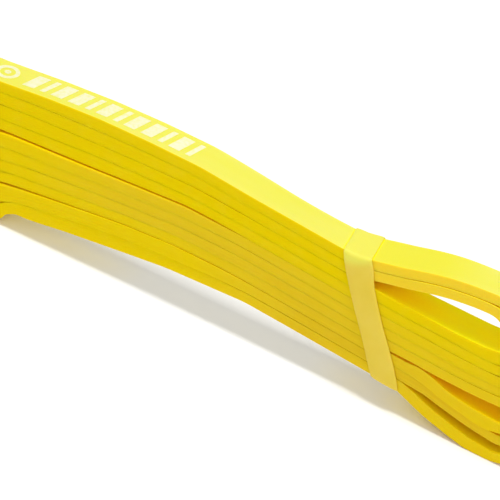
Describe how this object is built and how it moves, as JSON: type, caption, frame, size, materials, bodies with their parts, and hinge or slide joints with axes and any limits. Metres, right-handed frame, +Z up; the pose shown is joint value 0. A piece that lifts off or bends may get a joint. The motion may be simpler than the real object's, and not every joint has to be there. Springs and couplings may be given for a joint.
{
  "type": "stretching strap",
  "caption": "Long endless rubber loop for stretching and resistance exercise, folded into a flat-sided bundle and held by a sliding rubber keeper.",
  "frame": {"origin": "centre of the footprint on the ground", "axes": "+X along the folded bundle towards the end nearer the keeper, +Y across the strip, +Z up with the stacked layers"},
  "size_m": [0.2176, 0.0152, 0.0582],
  "materials": {
    "loop_rubber": "satin natural latex with a fine powdery bloom",
    "keeper_rubber": "pale translucent rubber, smooth",
    "white_ink": "thin flexible screen print"
  },
  "bodies": {
    "band": {"loop_band": "loop_rubber", "print_marks": "white_ink"},
    "keeper": {"keeper_band": "keeper_rubber"}
  },
  "joints": [
    {"name": "keeper_slide", "type": "slide", "parent": "band", "child": "keeper", "axis": [0.9964, 0, -0.0847], "range_m": [-0.02, 0]}
  ]
}
